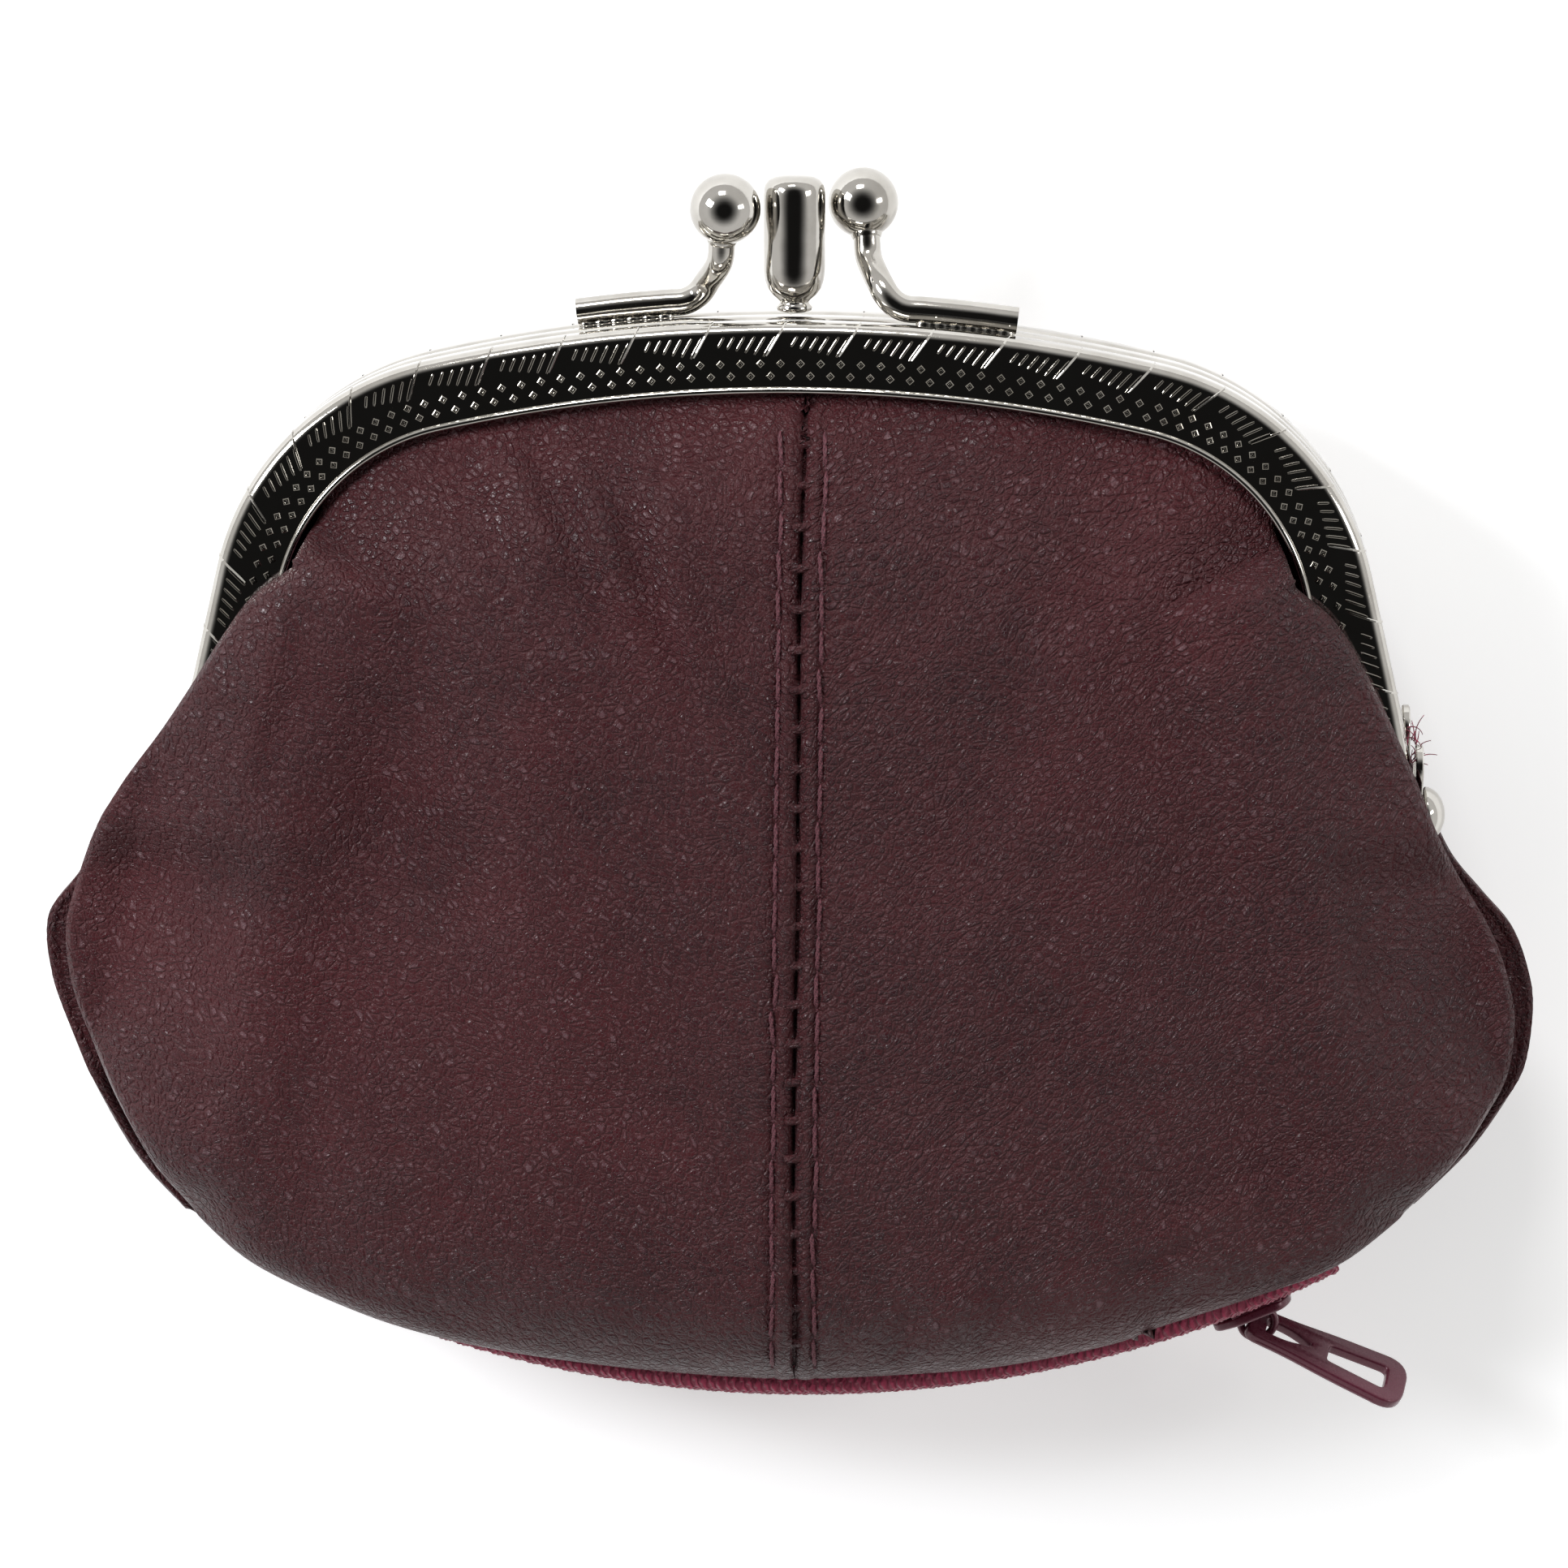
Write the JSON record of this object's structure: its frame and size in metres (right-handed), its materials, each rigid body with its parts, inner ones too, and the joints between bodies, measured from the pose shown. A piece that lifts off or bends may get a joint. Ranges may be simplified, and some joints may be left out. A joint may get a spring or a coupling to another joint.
{
  "type": "coin purse",
  "caption": "Kiss-lock coin purse with nested hinged frames, leather pockets, a centre post clasp and a zipped pocket in the base.",
  "frame": {"origin": "middle of the bounding box in X and Y, on the surface that the purse lies on", "axes": "+X along the mouth, +Y from the zip to the clasp, +Z out of the front panel; the purse lies on its rear panel"},
  "size_m": [0.1138, 0.0973, 0.026],
  "materials": {
    "nickel": "mirror nickel plate, stamped on the front faces",
    "leather": "dark burgundy, fine grain, low sheen",
    "lining": "woven lining",
    "zip_tape": "woven crimson tape",
    "zip_teeth": "nylon coil",
    "painted_metal": "semi-gloss burgundy paint",
    "paper": "twisted paper cord"
  },
  "bodies": {
    "root": {"middle_frame": "nickel", "middle_frame_cord": "paper", "centre_post": "nickel", "left_hinge_rivet": "nickel", "right_hinge_rivet": "nickel", "divider_upper": "lining", "front_divider_lower": "lining", "rear_divider_lower": "lining", "left_gusset": "leather", "right_gusset": "leather", "zip_tape_front": "zip_tape", "zip_tape_rear": "zip_tape", "zip_chain_front": "zip_teeth", "zip_chain_rear": "zip_teeth", "left_zip_stop": "leather", "right_zip_stop": "leather", "front_panel_lower_left": "leather", "front_lining_left": "lining", "front_panel_lower_right": "leather", "front_lining_right": "lining", "rear_panel_lower_left": "leather", "rear_lining_left": "lining", "rear_panel_lower_right": "leather", "rear_lining_right": "lining"},
    "front_frame_body": {"front_frame": "nickel", "front_frame_cord": "paper", "front_clasp_arm": "nickel", "front_clasp_ball": "nickel", "front_panel_upper_left": "leather", "front_panel_upper_right": "leather"},
    "rear_frame_body": {"rear_frame": "nickel", "rear_frame_cord": "paper", "rear_clasp_arm": "nickel", "rear_clasp_ball": "nickel", "rear_panel_upper_left": "leather", "rear_panel_upper_right": "leather"},
    "slider_body": {"zip_slider": "painted_metal"},
    "puller_body": {"zip_puller": "painted_metal"}
  },
  "joints": [
    {"name": "front_frame_hinge", "type": "hinge", "parent": "root", "child": "front_frame_body", "pos_m": [0, -0.0016, 0.013], "axis": [1, 0, 0], "range_deg": [0, 55]},
    {"name": "rear_frame_hinge", "type": "hinge", "parent": "root", "child": "rear_frame_body", "pos_m": [0, -0.0016, 0.013], "axis": [-1, 0, 0], "range_deg": [0, 55]},
    {"name": "slider_travel", "type": "hinge", "parent": "root", "child": "slider_body", "pos_m": [0, 0.0449, 0.013], "axis": [0, 0, -1], "range_deg": [0, 45.6]},
    {"name": "puller_pivot", "type": "hinge", "parent": "slider_body", "child": "puller_body", "pos_m": [0.03697, -0.04305, 0.013], "axis": [0, 0, 1], "range_deg": [-90, 4]}
  ]
}
